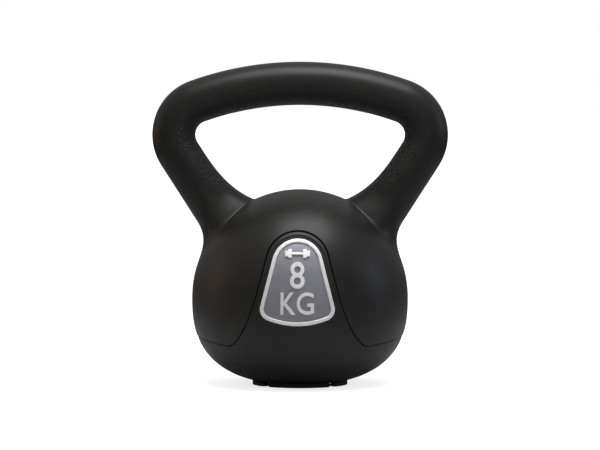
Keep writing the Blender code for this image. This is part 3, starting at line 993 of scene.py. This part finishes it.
def make_foot(name, tree, heading, rubber):
    foot = new_object(name, bpy.data.meshes.new(name))
    pad = foot.modifiers.new("pad", "NODES")
    pad.node_group = tree
    values = {
        "Heading": math.radians(heading),
        "Half Angle": FOOT_HALF_ANGLE,
        "Ring Radius": FOOT_OUTER_RADIUS - FOOT_WIDTH / 2,
        "Width": FOOT_WIDTH,
        "Corner Radius": FOOT_CORNER,
        "Bowl Radius": BALL_RADIUS,
        "Bowl Depth": BOWL_DEPTH,
        "Bowl Squareness": BOWL_SQUARENESS,
        "Bowl Bottom": float(BALL_CENTRE[2]) - BOWL_DEPTH - FOOT_GAP,
        "Material": rubber,
    }
    inputs = [item for item in tree.interface.items_tree if item.in_out == "INPUT"]
    sockets = {item.name: item.identifier for item in inputs}
    for key, value in values.items():
        pad[sockets[key]] = value
    edge = foot.modifiers.new("rounded edge", "BEVEL")
    edge.width = FOOT_EDGE
    edge.segments = 3
    edge.angle_limit = math.radians(40)
    apply_modifiers(foot)
    return foot


def turned(name, profile, sides):
    """A closed turned piece from (radius, height) pairs that start and end on the axis."""
    around = level_circle(sides)
    rings = [around * radius + UP * height for radius, height in profile[1:-1]]
    shape = Shape()
    shape.add_strips(rings)
    for ring, (_, height) in ((rings[0], profile[0]), (rings[-1], profile[-1])):
        fan = [(i, (i + 1) % sides, sides) for i in range(sides)]
        shape.add(np.vstack((ring, UP * height)), fan)
    return new_object(name, shape.mesh(name))


def make_plug():
    radius = PLUG_HIGH.x
    low, high = PLUG_LOW.z, PLUG_HIGH.z
    edge = 0.4 * MM
    profile = [(0.0, high), (radius * 0.5, high), (radius, high), (radius, low + edge)]
    for turn in (0.5, 1.0, 1.57):
        profile.append((radius - edge * (1 - math.cos(turn)), low + edge * (1 - math.sin(turn))))
    profile += [(radius * 0.62, low), (radius * 0.56, low + 0.15 * MM), (radius * 0.5, low + 0.9 * MM),
                (radius * 0.3, low + 1.0 * MM), (0.0, low + 1.0 * MM)]
    return turned("filler_plug", profile, PLUG_SIDES)


# ---- materials -----------------------------------------------------------------------------
def linear(code):
    """An sRGB hex colour as linear values with alpha."""
    values = [int(code[i:i + 2], 16) / 255 for i in (0, 2, 4)]
    return tuple(v / 12.92 if v <= 0.04045 else ((v + 0.055) / 1.055) ** 2.4 for v in values) + (1.0,)


def new_material(name, **constants):
    made = bpy.data.materials.new(name)
    made.use_nodes = True
    tree = made.node_tree
    shader = tree.nodes["Principled BSDF"]
    for key, value in constants.items():
        shader.inputs[key.replace("_", " ")].default_value = value
    place = node(tree, "ShaderNodeTexCoord").outputs["Object"]
    return made, tree, shader, place


def noise(tree, place, size, detail=2.0, roughness=0.5):
    """Noise whose features are about the given real size."""
    return node(tree, "ShaderNodeTexNoise", {
        "Vector": place, "Scale": 1 / size, "Detail": detail, "Roughness": roughness,
    }).outputs["Fac"]


def spread(tree, value, low, high, start=0.3, end=0.7):
    """Maps a pattern's usual range to another."""
    return node(tree, "ShaderNodeMapRange", {
        "Value": value, "From Min": start, "From Max": end, "To Min": low, "To Max": high,
    }).outputs[0]


def colours(tree, value, dark, light, start=0.3, end=0.7):
    """A colour between two, by a pattern over its usual range."""
    share = spread(tree, value, 0.0, 1.0, start, end)
    mix = {0: share, 6: linear(dark), 7: linear(light)}
    return node(tree, "ShaderNodeMix", mix, data_type="RGBA").outputs[2]


def feed(shader, **patterns):
    """Links patterns to the shader's sockets."""
    for key, value in patterns.items():
        shader.id_data.links.new(value, shader.inputs[key.replace("_", " ")])


def bump(tree, height, depth, normal=None):
    inputs = {"Height": height, "Distance": depth, "Strength": 1.0}
    if normal:
        inputs["Normal"] = normal
    return node(tree, "ShaderNodeBump", inputs).outputs[0]


def moulded_polyethylene(name):
    """Black polyethylene from an eroded steel mould: near-black, an even satin shine, a fine grain.

    The handle's inner side has a coarser leathery grain moulded in, where the hand holds it.
    """
    made, tree, shader, place = new_material(name, IOR=1.51, Specular_IOR_Level=0.3)
    flow = noise(tree, place, 45 * MM, detail=3)
    speck = noise(tree, place, 1.1 * MM, detail=2)
    tone = maths(tree, "MULTIPLY_ADD", speck, 0.3, maths(tree, "MULTIPLY", flow, 0.7))
    grip = node(tree, "ShaderNodeAttribute", attribute_name="grip").outputs["Fac"]
    cells = node(tree, "ShaderNodeTexVoronoi", {
        "Vector": place, "Scale": 1 / (1.9 * MM), "Randomness": 1.0,
    }, feature="SMOOTH_F1").outputs["Distance"]
    pebble = noise(tree, place, 1.3 * MM, detail=3, roughness=0.6)
    gripped = maths(tree, "MULTIPLY", maths(tree, "MULTIPLY_ADD", cells, 0.6, pebble), grip)
    rough = spread(tree, noise(tree, place, 14 * MM, detail=4), 0.36, 0.42)
    wave = bump(tree, noise(tree, place, 22 * MM, detail=1), 0.12 * MM)
    fine = bump(tree, noise(tree, place, 0.9 * MM, detail=3, roughness=0.6), 0.03 * MM, wave)
    feed(shader, Base_Color=colours(tree, tone, "1c1b1a", "232220"),
         Roughness=maths(tree, "MULTIPLY_ADD", grip, 0.06, rough),
         Normal=bump(tree, gripped, 1.1 * MM, fine))
    return made


def moulded_rubber(name):
    """Black moulded rubber: dull, slightly grey with handling dust, a soft powdery grain."""
    made, tree, shader, place = new_material(name, IOR=1.52)
    dust = noise(tree, place, 6 * MM, detail=5, roughness=0.65)
    grain = noise(tree, place, 0.8 * MM, detail=3)
    feed(shader, Base_Color=colours(tree, dust, "121212", "1d1c1b"),
         Roughness=spread(tree, dust, 0.7, 0.85), Normal=bump(tree, grain, 0.05 * MM))
    return made


def painted_abs(name):
    """ABS with a sprayed silver-grey lacquer: satin, a fine flake, a faint blue cast."""
    made, tree, shader, place = new_material(name, Metallic=0.35, IOR=1.5)
    flake = noise(tree, place, 0.8 * MM, detail=2, roughness=0.7)
    cloud = noise(tree, place, 12 * MM, detail=2)
    shade = colours(tree, maths(tree, "ADD", flake, cloud), "888890", "97979f", 0.7, 1.3)
    feed(shader, Base_Color=shade, Roughness=spread(tree, flake, 0.38, 0.5),
         Normal=bump(tree, flake, 0.02 * MM))
    return made


def stamped_foil(name):
    """Hot-stamped silver foil over raised ABS: bright, softened by the plastic's grain under it."""
    made, tree, shader, place = new_material(name, Metallic=0.3, IOR=1.5)
    rub = noise(tree, place, 5 * MM, detail=4, roughness=0.6)
    grain = noise(tree, place, 0.7 * MM, detail=2)
    feed(shader, Base_Color=colours(tree, rub, "f2f2f3", "fbfbfc"),
         Roughness=spread(tree, rub, 0.3, 0.42), Normal=bump(tree, grain, 0.015 * MM))
    return made


def cast_cement(name):
    """Cement mortar set in the casing: pale grey, sandy and matt, with darker damp patches."""
    made, tree, shader, place = new_material(name, Roughness=0.92, IOR=1.5)
    patch = noise(tree, place, 18 * MM, detail=5, roughness=0.6)
    sand = noise(tree, place, 1.2 * MM, detail=2, roughness=0.7)
    shade = colours(tree, maths(tree, "ADD", patch, sand), "77746f", "a7a49d", 0.7, 1.3)
    feed(shader, Base_Color=shade, Normal=bump(tree, sand, 0.3 * MM))
    return made


def adhesive_film(name):
    """Acrylic mounting adhesive: a soft milky film with tiny bubbles."""
    made, tree, shader, place = new_material(name, IOR=1.47, Roughness=0.45)
    bubble = noise(tree, place, 0.9 * MM, detail=2)
    feed(shader, Base_Color=colours(tree, bubble, "c9c4b4", "dcd8ca"), Normal=bump(tree, bubble, 0.03 * MM))
    return made


# ---- stage ---------------------------------------------------------------------------------
def soft_light(name, place, aim_z, size, power, colour):
    data = bpy.data.lights.new(name, "AREA")
    data.shape = "RECTANGLE"
    data.size, data.size_y = size
    data.energy = power
    data.color = linear(colour)[:3]
    lamp = new_object(name, data)
    lamp.location = place
    lamp.rotation_euler = (Vector((0, 0, aim_z)) - Vector(place)).to_track_quat("-Z", "Y").to_euler()


def make_stage():
    scene = bpy.context.scene
    scene.view_settings.view_transform = "Standard"
    data = bpy.data.meshes.new("floor")
    square = ((-1, -1), (1, -1), (1, 1), (-1, 1))
    corners = [(x * FLOOR_REACH, y * FLOOR_REACH, -FLOOR_DROP) for x, y in square]
    data.from_pydata(corners, [], [(0, 1, 2, 3)])
    floor = new_object("floor", data)
    paper = bpy.data.materials.new("white seamless paper")
    paper.use_nodes = True
    tree = paper.node_tree
    shader = tree.nodes["Principled BSDF"]
    shader.inputs["Roughness"].default_value = 0.9
    shader.inputs["Specular IOR Level"].default_value = 0.1
    shader.inputs["Emission Color"].default_value = linear("ffffff")
    seen = node(tree, "ShaderNodeLightPath").outputs["Is Camera Ray"]
    place = node(tree, "ShaderNodeTexCoord").outputs["Object"]
    away = node(tree, "ShaderNodeVectorMath", {0: place}, operation="LENGTH").outputs["Value"]
    bounce = colours(tree, away, FLOOR_BOUNCE, FLOOR_FAR_BOUNCE, *FLOOR_BOUNCE_REACH)
    white = node(tree, "ShaderNodeMix", {0: seen, 6: bounce, 7: linear(FLOOR_SEEN)}, data_type="RGBA")
    even = node(tree, "ShaderNodeMapRange", {
        "Value": away, "From Min": FLOOR_GLOW_REACH[0], "From Max": FLOOR_GLOW_REACH[1],
        "To Min": FLOOR_GLOW[0], "To Max": FLOOR_GLOW[1],
    }, interpolation_type="SMOOTHSTEP").outputs[0]
    feed(shader, Base_Color=white.outputs[2], Emission_Strength=maths(tree, "MULTIPLY", seen, even))
    data.materials.append(paper)

    world = bpy.data.worlds.new("studio")
    scene.world = world
    world.use_nodes = True
    tree = world.node_tree
    tree.nodes.clear()
    seen = node(tree, "ShaderNodeLightPath").outputs["Is Camera Ray"]
    place = node(tree, "ShaderNodeTexCoord").outputs["Generated"]
    height = node(tree, "ShaderNodeSeparateXYZ", {0: place}).outputs["Z"]
    fading = spread(tree, height, *ROOM_LIGHT, 0.0, ROOM_TOP)
    room = node(tree, "ShaderNodeBackground", {"Color": linear("ffffff"), "Strength": fading})
    backdrop = node(tree, "ShaderNodeBackground", {"Color": linear("ffffff"), "Strength": 1.0})
    mixed = node(tree, "ShaderNodeMixShader", {0: seen, 1: room.outputs[0], 2: backdrop.outputs[0]})
    node(tree, "ShaderNodeOutputWorld", {"Surface": mixed.outputs[0]})

    for lamp in LAMPS:
        soft_light(*lamp)

    data = bpy.data.cameras.new("camera")
    data.sensor_width = 36.0
    data.lens = CAMERA_LENS
    camera = new_object("camera", data)
    tilt = math.radians(CAMERA_ELEVATION)
    swing = math.radians(CAMERA_SWING)
    away = Vector((math.sin(swing) * math.cos(tilt), -math.cos(swing) * math.cos(tilt), math.sin(tilt)))
    aim = Vector((0.0, 0.0, CAMERA_AIM_Z))
    camera.location = aim + away * CAMERA_DISTANCE
    camera.rotation_euler = (-away).to_track_quat("-Z", "Y").to_euler()
    scene.camera = camera


# ---- putting it together -------------------------------------------------------------------
def finish_piece(piece, material, slot, *nodes):
    piece.data.materials.clear()
    piece.data.materials.append(material)
    smooth_by_angle(piece.data)
    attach(piece, "root")
    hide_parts(*nodes)


def smooth_by_angle(data):
    """Smooth shading, but with the sharp edges kept sharp."""
    data.polygons.foreach_set("use_smooth", [True] * len(data.polygons))
    with editing(data) as bm:
        for edge in bm.edges:
            if len(edge.link_faces) == 2:
                edge.smooth = edge.calc_face_angle() < SHARP_ANGLE


def main():
    casing = moulded_polyethylene("black moulded polyethylene")
    rubber = moulded_rubber("black moulded rubber")
    grey = painted_abs("silver-grey lacquered ABS")
    silver = stamped_foil("hot-stamped silver foil")
    cement = cast_cement("cast cement mortar")
    glue = adhesive_film("acrylic adhesive film")

    finish_piece(make_upper_casing(), casing, "casing", "upper_shell")
    finish_piece(make_lower_casing(), casing, "casing", "lower_shell")
    top, bottom, edge, crown = RIM_SECTION
    rim = ring_piece("weight_rim", rounded_section(RIM_WIDTH, top, bottom, edge, crown))
    finish_piece(rim, silver, "badge_silver", "badge_rim")
    finish_piece(make_plate(), grey, "badge_grey", "badge_plate")
    for name, text, source in (("raised_8", "8", "digit_8"), ("raised_k", "K", "letter_k"),
                               ("raised_g", "G", "letter_g")):
        low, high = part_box(source)
        piece = make_character(name, text, (low.x, high.x, low.z, high.z - low.z))
        finish_piece(piece, silver, "badge_silver", source)
    finish_piece(make_dumbbell_mark(), silver, "badge_silver", "badge_emblem")
    tree = rubber_foot_tree()
    for side, heading in (("right", 0), ("rear", 90), ("left", 180), ("front", 270)):
        foot = make_foot("rubber_foot_" + side, tree, heading, rubber)
        finish_piece(foot, rubber, "rubber", "foot_" + side)
    finish_piece(make_plug(), casing, "casing", "base_plug")
    finish_piece(make_cement_fill(), cement, "cement", "cement_core")
    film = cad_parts["badge_adhesive"]
    film.data.materials.clear()
    film.data.materials.append(glue)
    make_stage()


main()
